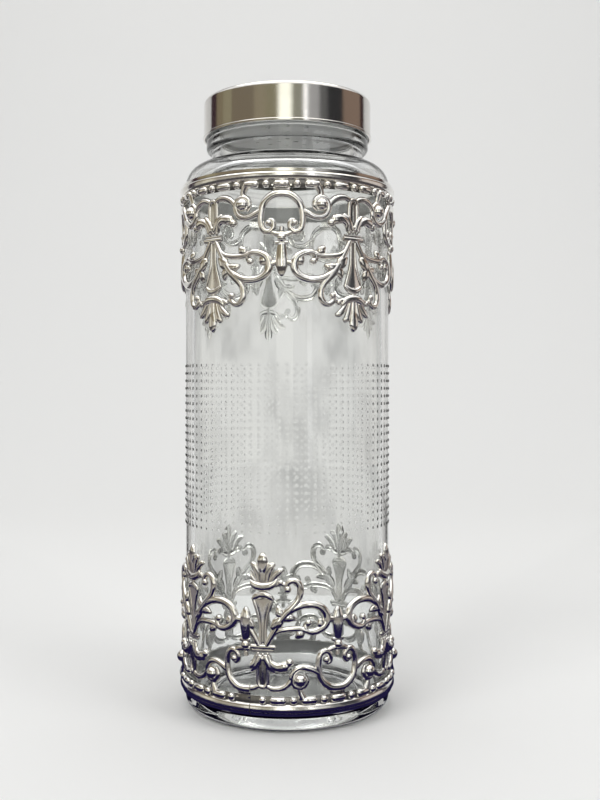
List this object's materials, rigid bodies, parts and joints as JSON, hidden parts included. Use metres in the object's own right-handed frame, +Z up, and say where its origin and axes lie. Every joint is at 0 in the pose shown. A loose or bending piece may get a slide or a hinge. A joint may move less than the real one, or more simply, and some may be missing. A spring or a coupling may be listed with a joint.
{
  "type": "screw-cap rosewater bottle with openwork bands",
  "caption": "Tall clear glass bottle with a wide neck, a press-in perforated sprinkler insert, a steel screw cap and silver-toned scrollwork bands round its shoulder and foot.",
  "frame": {"origin": "centre of the base, on the plane of the bearing nubs", "axes": "+Z up the bottle's axis; -Y towards the pictured side; +X to its right"},
  "size_m": [0.0892, 0.0892, 0.2516],
  "materials": {
    "clear_glass": "clear moulded soda-lime glass, embossed dots between the bands",
    "silver_tone_metal": "silver-toned cast strip, raised strokes polished, hollows darker",
    "adhesive": "clear bonding strip hidden behind the rail",
    "insert_plastic": "natural polyethylene",
    "seal_rubber": "soft food-grade ring",
    "cap_plastic": "moulded polypropylene with one thread",
    "brushed_steel": "stainless sheet, finely brushed round the axis"
  },
  "bodies": {
    "bottle": {"glass_bottle": "clear_glass", "lower_band": "silver_tone_metal", "upper_band": "silver_tone_metal", "lower_band_adhesive": "adhesive", "upper_band_adhesive": "adhesive", "sprinkler_insert": "insert_plastic"},
    "cap_seal": {"cap_seal_ring": "seal_rubber"},
    "cap": {"cap_thread_insert": "cap_plastic", "cap_shell": "brushed_steel"}
  },
  "joints": [
    {"name": "cap_rise", "type": "slide", "parent": "bottle", "child": "cap_seal", "axis": [0, 0, 1], "range_m": [0, 0.0177]},
    {"name": "cap_turn", "type": "hinge", "parent": "cap_seal", "child": "cap", "pos_m": [0, 0, 0.24], "axis": [0, 0, 1], "range_deg": [0, 1440]}
  ],
  "couplings": [
    {"joint": "cap_rise", "follows": "cap_turn", "m_per_rad": 0.00070028}
  ]
}
